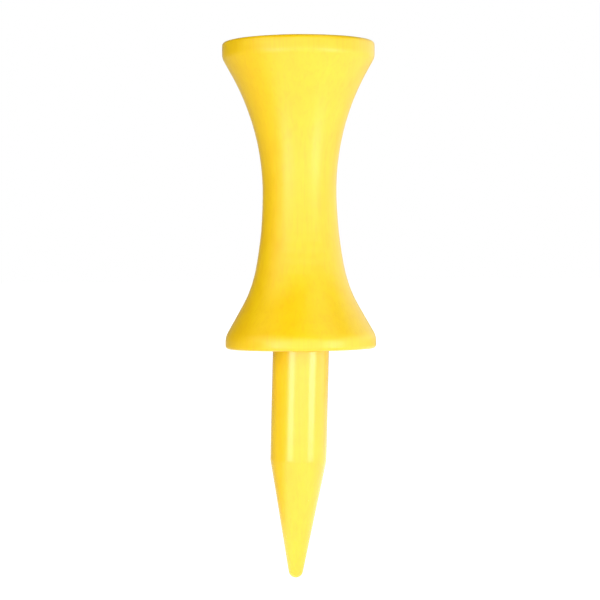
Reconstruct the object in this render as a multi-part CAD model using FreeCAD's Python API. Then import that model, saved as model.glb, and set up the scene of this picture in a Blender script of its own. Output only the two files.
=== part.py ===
"""Painted wooden castle golf tee, in millimetres, +Z up.

A waisted crown, turned from one blank of hardwood, carries the ball in a dish at its top and
stops at the turf with a flared flange. The spike is a straight dowel, tapered to a blunt nose.
Its tenon is glued into a blind socket drilled up into the crown, a little out of true, so the
spike leans towards -X, and its shoulder stands off the flange on one side. Each wooden piece has
its own coat of lacquer, with a crease between the two under the flange. Nothing moves.

The origin is where the spike leaves the flange's underside, on the crown's axis: turf level.
"""

import FreeCAD, Part
import math
import os

Vector = FreeCAD.Vector

# ---- driving dimensions, over the lacquer -------------------------------------------------
CROWN_HEIGHT = 30.8        # turf level to the rim
RIM_RADIUS = 7.67          # upright band at the top of the crown
FLANGE_RADIUS = 7.60       # upright band at its foot
WAIST_RADIUS = 3.72
WAIST_HEIGHT = 15.8        # above turf level
UPPER_SWEEP = (24.4, 29.0)   # radius of the side above the waist, and the slope it ends at
LOWER_SWEEP = (40.3, 10.9)   # the long shallow curve just below the waist
FOOT_SWEEP = (12.9, 29.6)    # the tighter curve that runs out to the flange

CUP_DEPTH = 2.9
CUP_MOUTH_RADIUS = 6.75    # where the dish meets the rim, before the lip is rounded

SPIKE_RADIUS = 2.85
SPIKE_LENGTH = 23.2        # turf level to the tip
NOSE_RADIUS = 0.75
TAPER_ANGLE = 10.6         # half the cone's angle, in degrees
SPIKE_LEAN = 1.8           # degrees from the crown's axis

# ---- rounded edges, over the lacquer ------------------------------------------------------
RIM_ROUND = 0.35           # outer edge of the rim
LIP_ROUND = 0.25           # edge of the dish
RIM_BAND_ROUND = 1.2       # where the rim's band runs into the flared side
FOOT_BAND_ROUND = 2.0      # where the flange's band does
FOOT_ROUND = 0.35          # lower edge of the flange
TAPER_ROUND = 2.0          # where the dowel starts to taper

# ---- what is hidden -----------------------------------------------------------------------
LACQUER = 0.10             # thickness of each coat
TENON_RADIUS = 2.0
TENON_LENGTH = 8.0         # from the spike's shoulder, which is at turf level
TENON_CHAMFER = 0.4
SHOULDER_CHAMFER = 0.11
BARE_RING = 0.2            # left without lacquer on the flange, all round the spike
GLUE_GAP = 0.08            # all round the tenon
GLUE_POOL = 0.5            # above its end
GLUE_SPREAD = 2.6          # radius of the glue between the shoulder and the flange
DRILL_POINT = 59.0         # half the angle of the socket's pointed end, in degrees

ORIGIN = Vector(0, 0, 0)
UP = Vector(0, 0, 1)
SPIKE_TURN = FreeCAD.Rotation(Vector(0, 1, 0), SPIKE_LEAN)


def on_arc(centre, radius, angle, way):
    """A point on a side curve, angle degrees from the level through its centre, up for way 1."""
    a = math.radians(angle)
    return centre + Vector(-radius * math.cos(a), 0, way * radius * math.sin(a))


def arc(centre, radius, start, end, way):
    middle = (start + end) / 2
    points = [on_arc(centre, radius, a, way) for a in (start, middle, end)]
    return Part.Arc(*points).toShape()


def line(start, end):
    return Part.LineSegment(start, end).toShape()


def turn(edges):
    """The solid that a half outline, closed on the Z axis, makes when it goes round once."""
    return Part.Face(Part.Wire(edges)).revolve(ORIGIN, UP, 360)


def ring_edges(solid, radius, height):
    """The circular edges of that radius round the Z axis at that height."""
    found = []
    for edge in solid.Edges:
        if edge.Degenerated or not isinstance(edge.Curve, Part.Circle):
            continue
        curve = edge.Curve
        if abs(curve.Radius - radius) < 0.01 and abs(curve.Center.z - height) < 0.01:
            found.append(edge)
    return found


def crown_blank(depth):
    """The crown, all its surfaces moved inwards by depth, with its edges rounded and no socket."""
    rim = RIM_RADIUS - depth
    foot = FLANGE_RADIUS - depth
    top = CROWN_HEIGHT - depth
    bottom = depth

    upper_radius, upper_slope = UPPER_SWEEP
    upper_centre = Vector(WAIST_RADIUS + upper_radius, 0, WAIST_HEIGHT)
    lower_radius, lower_slope = LOWER_SWEEP
    lower_centre = Vector(WAIST_RADIUS + lower_radius, 0, WAIST_HEIGHT)
    foot_radius, foot_slope = FOOT_SWEEP
    # the foot's curve carries on from the lower curve at the same slope
    foot_centre = on_arc(lower_centre, lower_radius - foot_radius, lower_slope, -1)

    upper_end = on_arc(upper_centre, upper_radius + depth, upper_slope, 1)
    rise = (rim - upper_end.x) / math.tan(math.radians(upper_slope))
    under_rim = Vector(rim, 0, upper_end.z + rise)
    foot_end = on_arc(foot_centre, foot_radius + depth, foot_slope, -1)
    drop = (foot - foot_end.x) / math.tan(math.radians(foot_slope))
    above_foot = Vector(foot, 0, foot_end.z - drop)

    cup_radius = (CUP_MOUTH_RADIUS**2 + CUP_DEPTH**2) / (2 * CUP_DEPTH)
    cup_centre = Vector(0, 0, CROWN_HEIGHT - CUP_DEPTH + cup_radius)
    cup_radius += depth
    cup_bottom = cup_centre - UP * cup_radius
    mouth = math.sqrt(cup_radius**2 - (cup_centre.z - top) ** 2)
    half_way = math.asin(mouth / cup_radius) / 2
    cup_middle = cup_centre + Vector(
        cup_radius * math.sin(half_way), 0, -cup_radius * math.cos(half_way)
    )

    solid = turn([
        line(Vector(0, 0, bottom), Vector(foot, 0, bottom)),
        line(Vector(foot, 0, bottom), above_foot),
        line(above_foot, foot_end),
        arc(foot_centre, foot_radius + depth, foot_slope, lower_slope, -1),
        arc(lower_centre, lower_radius + depth, lower_slope, 0, -1),
        arc(upper_centre, upper_radius + depth, 0, upper_slope, 1),
        line(upper_end, under_rim),
        line(under_rim, Vector(rim, 0, top)),
        line(Vector(rim, 0, top), Vector(mouth, 0, top)),
        Part.Arc(Vector(mouth, 0, top), cup_middle, cup_bottom).toShape(),
        line(cup_bottom, Vector(0, 0, bottom)),
    ])
    corners = [
        (foot, bottom, FOOT_ROUND),
        (foot, above_foot.z, FOOT_BAND_ROUND),
        (rim, under_rim.z, RIM_BAND_ROUND),
        (rim, top, RIM_ROUND),
        (mouth, top, LIP_ROUND),
    ]
    for radius, height, rounding in corners:
        solid = solid.makeFillet(rounding - depth, ring_edges(solid, radius, height))
    return solid


def spike_blank(depth):
    """The spike up to its shoulder, hanging straight down, with its sides moved in by depth."""
    radius = SPIKE_RADIUS - depth
    nose = NOSE_RADIUS - depth
    angle = math.radians(TAPER_ANGLE)
    nose_centre = -(SPIKE_LENGTH - NOSE_RADIUS)
    nose_start = Vector(nose * math.cos(angle), 0, nose_centre - nose * math.sin(angle))
    tip = Vector(0, 0, nose_centre - nose)
    half_turn = (math.pi / 2 + angle) / 2
    nose_middle = Vector(
        nose * math.sin(half_turn - angle), 0, nose_centre - nose * math.cos(half_turn - angle)
    )
    taper_top = nose_start.z + (radius - nose_start.x) / math.tan(angle)
    solid = turn([
        line(tip, ORIGIN),
        line(ORIGIN, Vector(radius, 0, 0)),
        line(Vector(radius, 0, 0), Vector(radius, 0, taper_top)),
        line(Vector(radius, 0, taper_top), nose_start),
        Part.Arc(nose_start, nose_middle, tip).toShape(),
    ])
    solid = solid.makeFillet(TAPER_ROUND - depth, ring_edges(solid, radius, taper_top))
    return solid.makeChamfer(SHOULDER_CHAMFER, ring_edges(solid, radius, 0))


def leaned(shape):
    """The shape turned about the origin to stand along the spike's own axis."""
    moved = shape.copy()
    moved.Placement = FreeCAD.Placement(ORIGIN, SPIKE_TURN)
    return moved


def upright(radius, bottom, top):
    return Part.makeCylinder(radius, top - bottom, Vector(0, 0, bottom))


def spike_wood():
    tenon = upright(TENON_RADIUS, -TENON_LENGTH, TENON_LENGTH)
    tenon = tenon.makeChamfer(TENON_CHAMFER, ring_edges(tenon, TENON_RADIUS, TENON_LENGTH))
    return leaned(spike_blank(LACQUER).fuse(tenon))


def socket():
    """The hole that is drilled for the tenon, with its pointed end and room for glue."""
    radius = TENON_RADIUS + GLUE_GAP
    depth = TENON_LENGTH + GLUE_POOL
    point = radius / math.tan(math.radians(DRILL_POINT))
    start = -2 * LACQUER
    hole = turn([
        line(Vector(0, 0, start), Vector(radius, 0, start)),
        line(Vector(radius, 0, start), Vector(radius, 0, depth)),
        line(Vector(radius, 0, depth), Vector(0, 0, depth + point)),
        line(Vector(0, 0, depth + point), Vector(0, 0, start)),
    ])
    return leaned(hole)


def crown_wood():
    return crown_blank(LACQUER).cut(socket())


def glue_line():
    """Glue fills the socket round and above the tenon, and the wedge over the shoulder."""
    in_socket = crown_blank(LACQUER).common(socket())
    over_shoulder = leaned(upright(GLUE_SPREAD, 0, LACQUER + GLUE_SPREAD))
    under_wood = upright(SPIKE_RADIUS, -LACQUER, LACQUER)
    wedge = over_shoulder.common(under_wood)
    return in_socket.fuse(wedge).cut(spike_wood()).removeSplitter()


def lacquer_on_crown():
    coat = crown_blank(0).cut(crown_blank(LACQUER))
    return coat.cut(upright(SPIKE_RADIUS + BARE_RING, -LACQUER, LACQUER))


def lacquer_on_spike():
    return leaned(spike_blank(0).cut(spike_blank(LACQUER)))


def write(name, shape):
    if len(shape.Solids) != 1 or not shape.isValid():
        raise ValueError(f"{name} is not one valid solid: {len(shape.Solids)} solids")
    solid = shape.Solids[0]
    solid.exportStep(os.path.join("parts", name + ".step"))
    box = solid.BoundBox
    print(f"{name}: {solid.Volume:.2f} mm3, z {box.ZMin:.2f} to {box.ZMax:.2f}")


os.makedirs("parts", exist_ok=True)
write("crown", crown_wood())
write("spike", spike_wood())
write("glue_line", glue_line())
write("lacquer_on_crown", lacquer_on_crown())
write("lacquer_on_spike", lacquer_on_spike())
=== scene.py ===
"""Looks of the lacquered wooden castle tee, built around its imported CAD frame.

The two coats of lacquer are replaced by closed skins with the small unevenness of turned and
lacquered wood. The wooden crown, the spike and the glue stay as CAD made them and get materials.
Outlines are in millimetres as (radius, height) pairs, and meshes are in metres.
"""

import math
import random

import bpy
import numpy as np
from mathutils import Euler, Matrix, Vector, noise


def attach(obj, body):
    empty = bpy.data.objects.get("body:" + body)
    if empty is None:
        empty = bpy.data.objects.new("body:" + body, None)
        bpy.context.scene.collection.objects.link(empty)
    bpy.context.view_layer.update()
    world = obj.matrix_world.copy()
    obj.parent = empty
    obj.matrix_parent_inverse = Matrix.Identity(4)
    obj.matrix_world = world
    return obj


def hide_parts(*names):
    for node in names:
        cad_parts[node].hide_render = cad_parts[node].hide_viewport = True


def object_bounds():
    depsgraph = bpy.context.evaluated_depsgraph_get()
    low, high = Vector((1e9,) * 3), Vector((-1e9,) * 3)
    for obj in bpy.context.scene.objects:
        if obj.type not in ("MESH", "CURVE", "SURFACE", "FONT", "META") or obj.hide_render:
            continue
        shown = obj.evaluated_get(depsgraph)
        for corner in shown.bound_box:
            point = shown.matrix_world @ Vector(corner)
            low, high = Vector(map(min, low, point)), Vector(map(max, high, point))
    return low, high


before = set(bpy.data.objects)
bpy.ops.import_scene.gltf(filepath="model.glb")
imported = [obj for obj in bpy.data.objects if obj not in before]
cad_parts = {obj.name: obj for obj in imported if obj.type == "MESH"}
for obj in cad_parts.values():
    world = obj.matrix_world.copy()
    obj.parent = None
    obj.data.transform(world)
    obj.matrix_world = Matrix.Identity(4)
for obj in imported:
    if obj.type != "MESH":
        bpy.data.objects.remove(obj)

CAD_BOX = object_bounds()
MM = 0.001

# ---- sizes over the lacquer, in millimetres, as in the CAD ------------------------------
CROWN_HEIGHT = 30.8        # turf level, where z is 0, to the rim
RIM_RADIUS = 7.67          # upright band at the top of the crown
FLANGE_RADIUS = 7.60       # upright band at its foot
WAIST_RADIUS = 3.72
WAIST_HEIGHT = 15.8
UPPER_SWEEP = (24.4, 29.0)   # radius of the side above the waist, and the slope it ends at
LOWER_SWEEP = (40.3, 10.9)   # the long shallow curve just below the waist
FOOT_SWEEP = (12.9, 29.6)    # the tighter curve that runs out to the flange
CUP_DEPTH = 2.9
CUP_MOUTH_RADIUS = 6.75    # where the dish meets the rim, before the lip is rounded
SPIKE_RADIUS = 2.85
SPIKE_LENGTH = 23.2        # turf level to the tip
NOSE_RADIUS = 0.75
TAPER_ANGLE = 10.6         # half the cone's angle, in degrees
SPIKE_LEAN = 1.8           # degrees from the crown's axis, towards -X
RIM_ROUND = 0.35           # outer edge of the rim
LIP_ROUND = 0.25           # edge of the dish
RIM_BAND_ROUND = 1.2       # where the rim's band runs into the flared side
FOOT_BAND_ROUND = 2.0      # where the flange's band does
FOOT_ROUND = 0.35          # lower edge of the flange
TAPER_ROUND = 2.0          # where the dowel starts to taper
LACQUER = 0.10             # thickness of each coat
BARE_RING = 0.2            # left without lacquer on the flange, all round the spike
SHOULDER_CHAMFER = 0.11
SAME_POINT = 0.0001        # points closer than this are one

LEAN = Matrix.Rotation(math.radians(SPIKE_LEAN), 4, "Y")   # from upright to the spike's axis

# ---- unevenness of the lacquer's surface, in millimetres --------------------------------
CROWN_LUMPS = ((0.010, 4.5, 3.1), (0.006, 1.6, 7.7))   # height, size across, seed
CROWN_RIPPLE = 0.0025      # height of the lathe's marks
RIPPLE_PITCH = 1.1         # from one mark to the next, up the crown
RIPPLE_WANDER = 2          # how far they stray from level, in radians of their own wave
CROWN_GRAIN = 0.0035       # height
SPIKE_LUMPS = ((0.007, 3.5, 5.3), (0.003, 1.2, 2.9))
SPIKE_GRAIN = 0.005
DENTS = 34                 # how many, all over the crown's side
DENT_HEIGHTS = (2.5, 27.0)
DENT_RADII = (0.5, 1.1)
DENT_DEPTHS = (0.004, 0.012)
DENT_REACH = 2.5           # radii from a dent's middle, beyond which it has faded out

# ---- relief that materials add in shading, in metres ------------------------------------
GRAIN_BUMP = 0.000004
PEEL_BUMP = 0.000004       # the lacquer's faint orange peel
COAT_BUMP = 0.000003       # the same in its clear gloss
WOOD_BUMP = 0.00002
SPIKE_TURN = math.radians(-SPIKE_LEAN)   # of the noise in the spike's materials

# ---- mesh fineness ----------------------------------------------------------------------
STEP = 0.14                # longest step along an outline, in millimetres
CORNER_STEPS = 7           # steps round a corner
COLUMNS = 288              # points round the axis
INSIDE_EVERY = 6           # of the hidden inner side, one ring in this many is kept
SHARP_EDGE = 50            # degrees between two faces from which their edge is drawn sharp

# ---- the studio, in metres and degrees --------------------------------------------------
TABLE_SIZE = 3.0           # from the tee to each edge
TABLE_GLOW = 0.95          # strength of the light that the white table gives off round the tee
FAR_GLOW = 0.3             # and far from it
POOL = (0.10, 0.30)        # distances at which that glow starts to fall, and has fallen
TABLE_SEEN = 1.15          # how bright the table looks to the camera: white
TABLE_GREY = (0.35, 0.35, 0.35, 1)   # how much of the other light it sends back
TABLE_ROUGHNESS = 0.9
TABLE_GLOSS = 0.1
ROOM_LEVELS = ((0, 0.45), (14, 0.25), (22, 0.12), (38, 0.05), (60, 0.0))   # elevation, light
DARK_SIDE = (0.12, 1.0)    # share of its light the dark side keeps, and the rest of the room
DARK_TOWARDS = -100        # azimuth of the dark side's middle: to the left and a little behind
DARK_REACH = (36, 64)      # angles from there at which it is still dark, and is fully lit
WARM = (1.0, 0.84, 0.65)   # tint of the light from the left

# ---- camera, in metres and degrees ------------------------------------------------------
CAMERA_DISTANCE = 0.200
CAMERA_HEIGHT = 0.00875
AIM_HEIGHT = 0.00488       # where on the tee it points
CAMERA_SIDE = -0.00005     # where it stands and what it points at, just left of the crown's axis
CAMERA_ROLL = -0.50
CAMERA_REACH = (0.01, 20)  # nearest and farthest that it sees
SENSOR_WIDTH = 36          # in millimetres, as is the lens
LENS = 119


# ---- outlines ---------------------------------------------------------------------------
def heading(angle):
    """The unit step that leans outwards from straight up by that many degrees."""
    a = math.radians(angle)
    return np.array([math.sin(a), math.cos(a)])


def straight(start, end):
    """Points on the line from one to the other, both included."""
    count = max(1, math.ceil(np.linalg.norm(np.subtract(end, start)) / STEP))
    return [np.add(start, np.subtract(end, start) * i / count) for i in range(count + 1)]


def sweep(centre, radius, start, end):
    """An arc from one angle to another, in degrees anticlockwise from the +radius direction."""
    count = max(2, math.ceil(math.radians(abs(end - start)) * radius / STEP))
    angles = np.radians(np.linspace(start, end, count + 1))
    return [np.add(centre, (radius * math.cos(a), radius * math.sin(a))) for a in angles]


def reach(start, way, radius):
    """Where the line from start, in the direction of way, comes to that radius."""
    return start + way * (radius - start[0]) / way[0]


def corner(point, arrive, leave, radius):
    """The round that turns left at point, from one heading to the other."""
    turn = math.atan2(arrive[0] * leave[1] - arrive[1] * leave[0], arrive @ leave)
    start = point - arrive * radius * math.tan(turn / 2)
    centre = start + np.array([-arrive[1], arrive[0]]) * radius
    across, up = start - centre
    first = math.degrees(math.atan2(up, across))
    angles = np.radians(np.linspace(first, first + math.degrees(turn), CORNER_STEPS + 1))
    return [centre + radius * np.array([math.cos(a), math.sin(a)]) for a in angles]


def joined(*stretches):
    """One outline from several, with the gaps between them filled and no point twice."""
    points = [np.asarray(stretches[0][0], float)]
    for stretch in stretches:
        for point in straight(points[-1], stretch[0])[1:] + list(stretch):
            if np.linalg.norm(point - points[-1]) > SAME_POINT:
                points.append(point)
    return np.array(points)


def crown_outline():
    """From the bare ring under the flange, up the side, over the rim and down to the dish."""
    upper_radius, upper_slope = UPPER_SWEEP
    lower_radius, lower_slope = LOWER_SWEEP
    foot_radius, foot_slope = FOOT_SWEEP
    upper_centre = np.array([WAIST_RADIUS + upper_radius, WAIST_HEIGHT])
    lower_centre = np.array([WAIST_RADIUS + lower_radius, WAIST_HEIGHT])
    a = math.radians(lower_slope)
    toward_waist = np.array([-math.cos(a), -math.sin(a)])
    foot_centre = lower_centre + (lower_radius - foot_radius) * toward_waist

    upper = sweep(upper_centre, upper_radius, 180, 180 - upper_slope)
    lower = sweep(lower_centre, lower_radius, 180 + lower_slope, 180)
    foot = sweep(foot_centre, foot_radius, 180 + foot_slope, 180 + lower_slope)
    above_foot = reach(foot[0], heading(-foot_slope), FLANGE_RADIUS)
    under_rim = reach(upper[-1], heading(upper_slope), RIM_RADIUS)

    cup_radius = (CUP_MOUTH_RADIUS**2 + CUP_DEPTH**2) / (2 * CUP_DEPTH)
    cup_centre = np.array([0, CROWN_HEIGHT - CUP_DEPTH + cup_radius])
    mouth_angle = math.degrees(math.asin(CUP_MOUTH_RADIUS / cup_radius))
    lip = corner(
        np.array([CUP_MOUTH_RADIUS, CROWN_HEIGHT]),
        heading(-90),
        heading(-90 - mouth_angle),
        LIP_ROUND,
    )
    trimmed = math.degrees(2 * LIP_ROUND / cup_radius)   # left to the lip's rounding
    dish = sweep(cup_centre, cup_radius, mouth_angle - 90 - trimmed, -90)
    return joined(
        [(SPIKE_RADIUS + BARE_RING, 0)],
        corner(np.array([FLANGE_RADIUS, 0]), heading(90), heading(0), FOOT_ROUND),
        corner(above_foot, heading(0), heading(-foot_slope), FOOT_BAND_ROUND),
        foot,
        lower,
        upper,
        corner(under_rim, heading(upper_slope), heading(0), RIM_BAND_ROUND),
        corner(np.array([RIM_RADIUS, CROWN_HEIGHT]), heading(0), heading(-90), RIM_ROUND),
        lip,
        dish,
    )


def spike_outline():
    """From the tip up to the shoulder, standing on the spike's own axis."""
    nose_centre = np.array([0, NOSE_RADIUS - SPIKE_LENGTH])
    nose = sweep(nose_centre, NOSE_RADIUS, -90, -TAPER_ANGLE)
    taper_top = reach(nose[-1], heading(TAPER_ANGLE), SPIKE_RADIUS)
    return joined(
        nose,
        corner(taper_top, heading(TAPER_ANGLE), heading(0), TAPER_ROUND),
        [(SPIKE_RADIUS, -SHOULDER_CHAMFER)],
        [(SPIKE_RADIUS - SHOULDER_CHAMFER, 0)],
    )


def outward(outline):
    """The outward normal at each point of an outline that runs anticlockwise."""
    along = np.gradient(outline, axis=0)
    along /= np.linalg.norm(along, axis=1)[:, None]
    return np.stack([along[:, 1], -along[:, 0]], axis=1)


# ---- the unevenness of the lacquered wood -----------------------------------------------
def wobble(point, scale, seed):
    """Smooth noise between about -1 and 1. scale is the size of its lumps, in millimetres."""
    return noise.noise(Vector(point) / scale + Vector((seed, -seed, 2 * seed)))


def grain(point, seed):
    """Fine ridges that run up the wood, about 0.35 and 0.9 mm wide."""
    x, y, z = point
    fine = noise.noise(Vector((x / 0.35, y / 0.35, z / 6 + seed)))
    coarse = noise.noise(Vector((x / 0.9, y / 0.9, z / 14 - seed)))
    return 0.6 * fine + 0.4 * coarse


def lumpiness(point, layers):
    """The sum of several layers of soft lumps."""
    return sum(height * wobble(point, size, seed) for height, size, seed in layers)


def crown_relief(point, dents):
    """How far the crown's lacquer stands off its true surface there, in millimetres."""
    wave = 2 * math.pi * point[2] / RIPPLE_PITCH + RIPPLE_WANDER * wobble(point, 5.0, 1.3)
    ripple = CROWN_RIPPLE * math.sin(wave)
    hollow = 0.0
    for centre, radius, depth in dents:
        distance = math.dist(centre, point) / radius
        if distance < DENT_REACH:
            hollow += depth * math.exp(-(distance**2))
    return lumpiness(point, CROWN_LUMPS) + ripple + CROWN_GRAIN * grain(point, 0.4) - hollow


def spike_relief(point):
    """The same for the spike's lacquer, which has no dents."""
    return lumpiness(point, SPIKE_LUMPS) + SPIKE_GRAIN * grain(point, 9.1)


def dents_on_side(outline, seed):
    """Shallow dents at random places on the crown's side, as (centre, radius, depth)."""
    pick = random.Random(seed)
    lowest, highest = DENT_HEIGHTS
    side = [p for p in outline if lowest < p[1] < highest]
    dents = []
    for _ in range(DENTS):
        radius, height = pick.choice(side)
        angle = pick.uniform(0, 2 * math.pi)
        centre = (radius * math.cos(angle), radius * math.sin(angle), height)
        dents.append((centre, pick.uniform(*DENT_RADII), pick.uniform(*DENT_DEPTHS)))
    return dents


# ---- meshes -----------------------------------------------------------------------------
AROUND = [(i, (i + 1) % COLUMNS) for i in range(COLUMNS)]   # each point of a ring and the next


def rings(outline, normals, relief=None):
    """Points of the rings that an outline makes round the axis, each moved out by its relief."""
    angles = np.linspace(0, 2 * math.pi, COLUMNS, endpoint=False)
    ways = np.stack([np.cos(angles), np.sin(angles)], axis=1)
    made = []
    for (radius, height), (out, up) in zip(outline, normals):
        ring = np.empty((COLUMNS, 3))
        ring[:, :2] = ways * radius
        ring[:, 2] = height
        if relief:
            off = np.array([relief(tuple(p)) for p in ring])
            ring[:, :2] += ways * (out * off)[:, None]
            ring[:, 2] += up * off
        made.append(ring)
    return made


def add_shell(points, faces, shell, flip):
    """Adds the faces between rings that end at a pole. Returns where the first ring starts."""
    start = len(points)
    for ring in shell[:-1]:
        points.extend(ring)
    pole = len(points)
    points.append(shell[-1].mean(axis=0))
    last_ring = pole - COLUMNS
    for row in range(start, last_ring, COLUMNS):
        above = row + COLUMNS
        for i, j in AROUND:
            face = (row + i, row + j, above + j, above + i)
            faces.append(face[::-1] if flip else face)
    for i, j in AROUND:
        face = (last_ring + i, last_ring + j, pole)
        faces.append(face[::-1] if flip else face)
    return start


def skin(name, outline, relief):
    """A closed skin of lacquer.

    Its outline has one end on the axis, where the outer and the inner side each close at a pole.
    At the other end the two sides are joined.
    """
    normals = outward(outline)
    inner = outline - normals * LACQUER
    inner[:, 0] = np.maximum(inner[:, 0], 0)
    pole_first = outline[0][0] < SAME_POINT
    if pole_first:
        outline, normals, inner = outline[::-1], normals[::-1], inner[::-1]
    keep = list(range(0, len(inner) - 1, INSIDE_EVERY)) + [len(inner) - 1]

    points, faces = [], []
    outer_rings = rings(outline, normals, relief)
    inner_rings = rings(inner[keep], normals[keep])
    outside = add_shell(points, faces, outer_rings, pole_first)
    inside = add_shell(points, faces, inner_rings, not pole_first)
    for i, j in AROUND:
        face = (outside + j, outside + i, inside + i, inside + j)
        faces.append(face[::-1] if pole_first else face)

    mesh = bpy.data.meshes.new(name)
    mesh.from_pydata([tuple(MM * p) for p in points], [], faces)
    mesh.polygons.foreach_set("use_smooth", [True] * len(faces))
    mesh.set_sharp_from_angle(angle=math.radians(SHARP_EDGE))
    mesh.validate()
    piece = bpy.data.objects.new(name, mesh)
    bpy.context.collection.objects.link(piece)
    return piece


def coat(piece, node, material):
    """Puts a skin of lacquer in place of its CAD node."""
    piece.data.materials.append(material)
    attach(piece, "root")
    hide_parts(node)


# ---- node trees and materials -----------------------------------------------------------
class Nodes:
    """The node tree of a new material or world, with short ways to add and join nodes."""

    def __init__(self, owner):
        owner.use_nodes = True
        self.tree = owner.node_tree
        self.shader = self.tree.nodes.get("Principled BSDF")   # a world has none

    def add(self, kind, **settings):
        node = self.tree.nodes.new(kind)
        for key, value in settings.items():
            setattr(node, key, value)
        return node

    def join(self, source, target):
        self.tree.links.new(source, target)

    def place(self, scale, turn=0.0):
        """Object coordinates, stretched by scale per metre and only then turned about Y.

        So the turn picks other noise, and grain still runs along Z.
        """
        coordinates = self.add("ShaderNodeTexCoord")
        mapping = self.add("ShaderNodeMapping")
        mapping.inputs["Scale"].default_value = scale
        mapping.inputs["Rotation"].default_value = (0, turn, 0)
        self.join(coordinates.outputs["Object"], mapping.inputs["Vector"])
        return mapping.outputs["Vector"]

    def noise(self, vector, detail, roughness=0.5):
        """Smooth noise. The size of its lumps comes from how its coordinates are stretched."""
        node = self.add("ShaderNodeTexNoise")
        node.inputs["Scale"].default_value = 1.0
        node.inputs["Detail"].default_value = detail
        node.inputs["Roughness"].default_value = roughness
        self.join(vector, node.inputs["Vector"])
        return node.outputs["Fac"]

    def ramp(self, factor, *stops):
        """A colour for each value of factor, from stops given as (value, colour) in order."""
        node = self.add("ShaderNodeValToRGB")
        elements = node.color_ramp.elements
        while len(elements) < len(stops):
            elements.new(0.5)
        for element, (position, colour) in zip(elements, stops):
            element.position = position
            element.color = (*colour, 1)
        self.join(factor, node.inputs["Fac"])
        return node.outputs["Color"]

    def multiply(self, colour, tint, strength):
        """The colour, tinted. At strength 1 the tint counts in full, and at 0 not at all."""
        node = self.add("ShaderNodeMix", data_type="RGBA", blend_type="MULTIPLY")
        node.inputs["Factor"].default_value = strength
        self.join(colour, node.inputs[6])
        self.join(tint, node.inputs[7])
        return node.outputs[2]

    def stretch(self, factor, low, high):
        """Low where factor is 0 and high where it is 1."""
        node = self.add("ShaderNodeMapRange")
        node.inputs["To Min"].default_value = low
        node.inputs["To Max"].default_value = high
        self.join(factor, node.inputs["Value"])
        return node.outputs["Result"]

    def bump(self, height, distance, under=None):
        """A surface normal that shows height as relief, on top of what lies under it."""
        node = self.add("ShaderNodeBump")
        node.inputs["Distance"].default_value = distance
        self.join(height, node.inputs["Height"])
        if under:
            self.join(under, node.inputs["Normal"])
        return node.outputs["Normal"]


def lacquer(name, turn, roughness, gloss, coat_weight, coat_roughness):
    """Yellow lacquer over wood: a little uneven in tone, with the grain just showing."""
    material = bpy.data.materials.new(name)
    n = Nodes(material)
    lumps = n.noise(n.place((420, 420, 420)), detail=4.0)
    mottle = n.noise(n.place((1400, 1400, 900)), detail=3.0)
    grain_lines = n.noise(n.place((3600, 3600, 130), turn), detail=5.0, roughness=0.6)
    peel = n.noise(n.place((2600, 2600, 2600)), detail=1.0)
    body = n.ramp(lumps, (0.30, (0.955, 0.635, 0.001)), (0.70, (0.970, 0.685, 0.001)))
    pores = n.ramp(grain_lines, (0.36, (0.90, 0.78, 0.55)), (0.52, (1.0, 1.0, 1.0)))
    clouds = n.ramp(mottle, (0.35, (0.98, 0.965, 0.92)), (0.65, (1.0, 1.0, 1.0)))
    colour = n.multiply(body, pores, 0.25)
    colour = n.multiply(colour, clouds, 0.8)
    n.join(colour, n.shader.inputs["Base Color"])
    n.join(n.stretch(mottle, roughness - 0.05, roughness + 0.09), n.shader.inputs["Roughness"])
    fine = n.bump(grain_lines, GRAIN_BUMP)
    both = n.bump(peel, PEEL_BUMP, fine)
    n.join(both, n.shader.inputs["Normal"])
    n.join(n.bump(peel, COAT_BUMP), n.shader.inputs["Coat Normal"])
    n.shader.inputs["Specular IOR Level"].default_value = gloss
    n.shader.inputs["Coat Weight"].default_value = coat_weight
    n.shader.inputs["Coat Roughness"].default_value = coat_roughness
    return material


def bare_wood(name, turn):
    """Turned hardwood: pale brown, with growth bands, fine pores and short flecks."""
    material = bpy.data.materials.new(name)
    n = Nodes(material)
    bands = n.noise(n.place((900, 350, 26), turn), detail=3.0)
    pores = n.noise(n.place((5200, 5200, 160), turn), detail=4.0, roughness=0.65)
    flecks = n.noise(n.place((1600, 6000, 700), turn), detail=1.0)
    base = n.ramp(bands, (0.32, (0.42, 0.24, 0.11)), (0.68, (0.62, 0.42, 0.23)))
    dark = n.ramp(pores, (0.36, (0.45, 0.36, 0.28)), (0.50, (1.0, 1.0, 1.0)))
    spots = n.ramp(flecks, (0.30, (0.72, 0.60, 0.48)), (0.42, (1.0, 1.0, 1.0)))
    colour = n.multiply(base, dark, 0.7)
    colour = n.multiply(colour, spots, 0.6)
    n.join(colour, n.shader.inputs["Base Color"])
    n.join(n.stretch(pores, 0.75, 0.5), n.shader.inputs["Roughness"])
    n.join(n.bump(pores, WOOD_BUMP), n.shader.inputs["Normal"])
    return material


def dried_glue(name):
    """Wood glue, a cloudy light brown."""
    material = bpy.data.materials.new(name)
    n = Nodes(material)
    clouds = n.noise(n.place((1500, 1500, 1500)), detail=3.0)
    colour = n.ramp(clouds, (0.3, (0.52, 0.36, 0.14)), (0.7, (0.74, 0.60, 0.33)))
    n.join(colour, n.shader.inputs["Base Color"])
    n.join(n.stretch(clouds, 0.25, 0.45), n.shader.inputs["Roughness"])
    n.join(n.bump(clouds, WOOD_BUMP), n.shader.inputs["Normal"])
    return material


def dress(node, material):
    """Gives a CAD node its material."""
    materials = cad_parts[node].data.materials
    materials.clear()
    materials.append(material)


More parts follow.
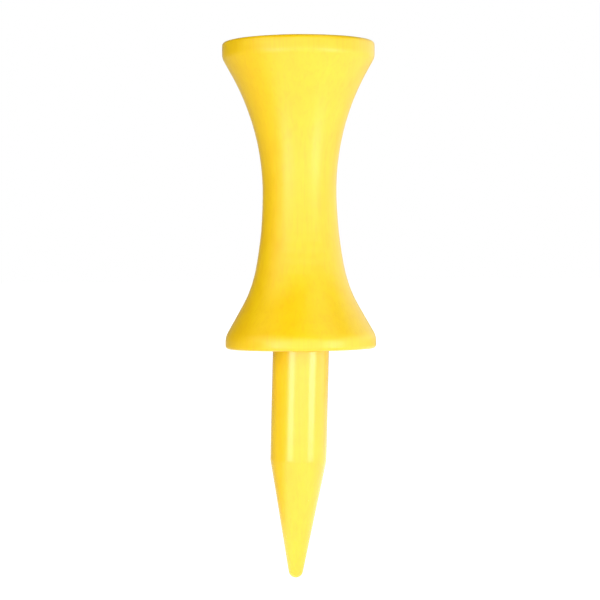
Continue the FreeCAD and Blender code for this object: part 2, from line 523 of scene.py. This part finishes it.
# ---- the studio -------------------------------------------------------------------------
def dark_side(n, vector):
    """The share of light that comes from each direction: the room's left side is darker."""
    middle = math.radians(DARK_TOWARDS)
    unit = n.add("ShaderNodeVectorMath", operation="NORMALIZE")
    n.join(vector, unit.inputs[0])
    towards = n.add("ShaderNodeVectorMath", operation="DOT_PRODUCT")
    n.join(unit.outputs[0], towards.inputs[0])
    towards.inputs[1].default_value = (math.sin(middle), -math.cos(middle), 0)
    in_dark, in_light = DARK_SIDE
    share = n.stretch(towards.outputs["Value"], in_light, in_dark)
    share.node.interpolation_type = "SMOOTHSTEP"
    dark, lit = [math.cos(math.radians(angle)) for angle in DARK_REACH]
    share.node.inputs["From Min"].default_value = lit
    share.node.inputs["From Max"].default_value = dark
    return share


def floor_material():
    """A white table that glows round the tee, and looks evenly white to the camera."""
    material = bpy.data.materials.new("white_table")
    n = Nodes(material)
    speckle = n.noise(n.place((60, 60, 60)), detail=2.0)
    colour = n.ramp(speckle, (0.3, (0.93, 0.93, 0.93)), (0.7, (0.95, 0.95, 0.95)))
    n.join(colour, n.shader.inputs["Emission Color"])
    place = n.add("ShaderNodeTexCoord").outputs["Object"]
    away = n.add("ShaderNodeVectorMath", operation="LENGTH")
    n.join(place, away.inputs[0])
    pool = n.stretch(away.outputs["Value"], TABLE_GLOW, FAR_GLOW)
    pool_edge, pool_end = POOL
    pool.node.inputs["From Min"].default_value = pool_edge
    pool.node.inputs["From Max"].default_value = pool_end
    lit = n.add("ShaderNodeMath", operation="MULTIPLY")
    n.join(pool, lit.inputs[0])
    n.join(dark_side(n, place), lit.inputs[1])
    rays = n.add("ShaderNodeLightPath")
    glow = n.stretch(rays.outputs["Is Camera Ray"], 0, TABLE_SEEN)
    n.join(lit.outputs[0], glow.node.inputs["To Min"])
    n.join(glow, n.shader.inputs["Emission Strength"])
    n.shader.inputs["Base Color"].default_value = TABLE_GREY
    n.shader.inputs["Roughness"].default_value = TABLE_ROUGHNESS
    n.shader.inputs["Specular IOR Level"].default_value = TABLE_GLOSS
    return material


def make_floor(height):
    """The table, level at that height."""
    mesh = bpy.data.meshes.new("floor")
    ways = ((-1, -1), (1, -1), (1, 1), (-1, 1))
    corners = [(x * TABLE_SIZE, y * TABLE_SIZE, height) for x, y in ways]
    mesh.from_pydata(corners, [], [(0, 1, 2, 3)])
    mesh.materials.append(floor_material())
    floor = bpy.data.objects.new("floor", mesh)
    bpy.context.collection.objects.link(floor)


def softbox(name, azimuth, elevation, distance, size, radiance, tint=(1, 1, 1), reflected=True):
    """A panel of light that faces the tee, placed by degrees and metres.

    Azimuth 0 is the camera's side, and + is to its right. Size is width and height. Radiance is
    how bright the panel looks. A panel that isn't reflected lights the tee without being mirrored.
    """
    width, height = size
    light = bpy.data.lights.new(name, "AREA")
    light.shape = "RECTANGLE"
    light.size, light.size_y = size
    light.energy = radiance * math.pi * width * height
    light.color = tint
    lamp = bpy.data.objects.new(name, light)
    turn = Euler((math.radians(90 - elevation), 0, math.radians(azimuth))).to_matrix().to_4x4()
    lamp.matrix_world = turn @ Matrix.Translation((0, 0, distance))
    lamp.visible_camera = False
    lamp.visible_glossy = reflected
    bpy.context.collection.objects.link(lamp)


def make_world():
    """A white room that is brightest at the table's level, and plain white to the camera."""
    world = bpy.data.worlds.new("studio")
    bpy.context.scene.world = world
    n = Nodes(world)
    n.tree.nodes.clear()
    direction = n.add("ShaderNodeTexCoord").outputs["Generated"]
    parts = n.add("ShaderNodeSeparateXYZ")
    n.join(direction, parts.inputs["Vector"])
    stops = [(math.sin(math.radians(angle)), (level,) * 3) for angle, level in ROOM_LEVELS]
    room = n.add("ShaderNodeBackground")
    n.join(n.ramp(parts.outputs["Z"], *stops), room.inputs["Color"])
    n.join(dark_side(n, direction), room.inputs["Strength"])
    seen = n.add("ShaderNodeBackground")
    seen.inputs["Color"].default_value = (1, 1, 1, 1)
    rays = n.add("ShaderNodeLightPath")
    choose = n.add("ShaderNodeMixShader")
    n.join(rays.outputs["Is Camera Ray"], choose.inputs[0])
    n.join(room.outputs[0], choose.inputs[1])
    n.join(seen.outputs[0], choose.inputs[2])
    n.join(choose.outputs[0], n.add("ShaderNodeOutputWorld").inputs["Surface"])


def make_camera():
    """At the height of the lower crown, looking a little down, and rolled a little clockwise."""
    camera = bpy.data.cameras.new("camera")
    camera.sensor_width = SENSOR_WIDTH
    camera.lens = LENS
    camera.clip_start, camera.clip_end = CAMERA_REACH
    holder = bpy.data.objects.new("camera", camera)
    bpy.context.collection.objects.link(holder)
    place = Vector((CAMERA_SIDE, -CAMERA_DISTANCE, CAMERA_HEIGHT))
    look = Vector((CAMERA_SIDE, 0, AIM_HEIGHT)) - place
    roll = Matrix.Rotation(math.radians(CAMERA_ROLL), 4, "Z")
    holder.matrix_world = (
        Matrix.Translation(place) @ look.to_track_quat("-Z", "Y").to_matrix().to_4x4() @ roll
    )
    bpy.context.scene.camera = holder


# ---- the scene --------------------------------------------------------------------------
make_camera()

crown_side = crown_outline()
crown_dents = dents_on_side(crown_side, seed=12)
crown_coat = skin("crown_coat", crown_side, lambda point: crown_relief(point, crown_dents))
crown_lacquer = lacquer(
    "crown_lacquer",
    turn=0.0,
    roughness=0.34,
    gloss=0.82,
    coat_weight=0.30,
    coat_roughness=0.38,
)
coat(crown_coat, "lacquer_on_crown", crown_lacquer)

spike_coat = skin("spike_coat", spike_outline(), spike_relief)
spike_coat.data.transform(LEAN)
spike_lacquer = lacquer(
    "spike_lacquer",
    turn=SPIKE_TURN,
    roughness=0.22,
    gloss=0.9,
    coat_weight=0.65,
    coat_roughness=0.12,
)
coat(spike_coat, "lacquer_on_spike", spike_lacquer)

dress("crown", bare_wood("crown_wood", 0.0))
dress("spike", bare_wood("spike_wood", SPIKE_TURN))
dress("glue_line", dried_glue("wood_glue"))

make_world()
make_floor(CAD_BOX[0].z)   # where the tee's tip touches it
# Far panels light the whole tee softly, and the lacquer doesn't mirror them.
softbox("key", 50, 52, 1.0, (0.7, 0.7), 2.0, reflected=False)
softbox("fill", -62, 22, 0.9, (0.7, 0.7), 2.6, WARM, reflected=False)
softbox("back", 175, 35, 1.0, (1.2, 0.8), 1.2, reflected=False)
# Near panels are what the lacquer mirrors: pale bands, and a streak on each side of the spike.
softbox("front", 3, 8, 0.141, (0.42, 0.082), 1.12)
softbox("right", 86, 9, 0.141, (0.13, 0.085), 0.75)
softbox("far_right", 132, 24, 0.150, (0.14, 0.120), 0.70)
softbox("left_strip", -34, -2, 0.111, (0.045, 0.038), 1.85)
softbox("right_strip", 50, -2, 0.111, (0.050, 0.038), 2.45)

view_settings = bpy.context.scene.view_settings
view_settings.view_transform = "Standard"
view_settings.look = "None"
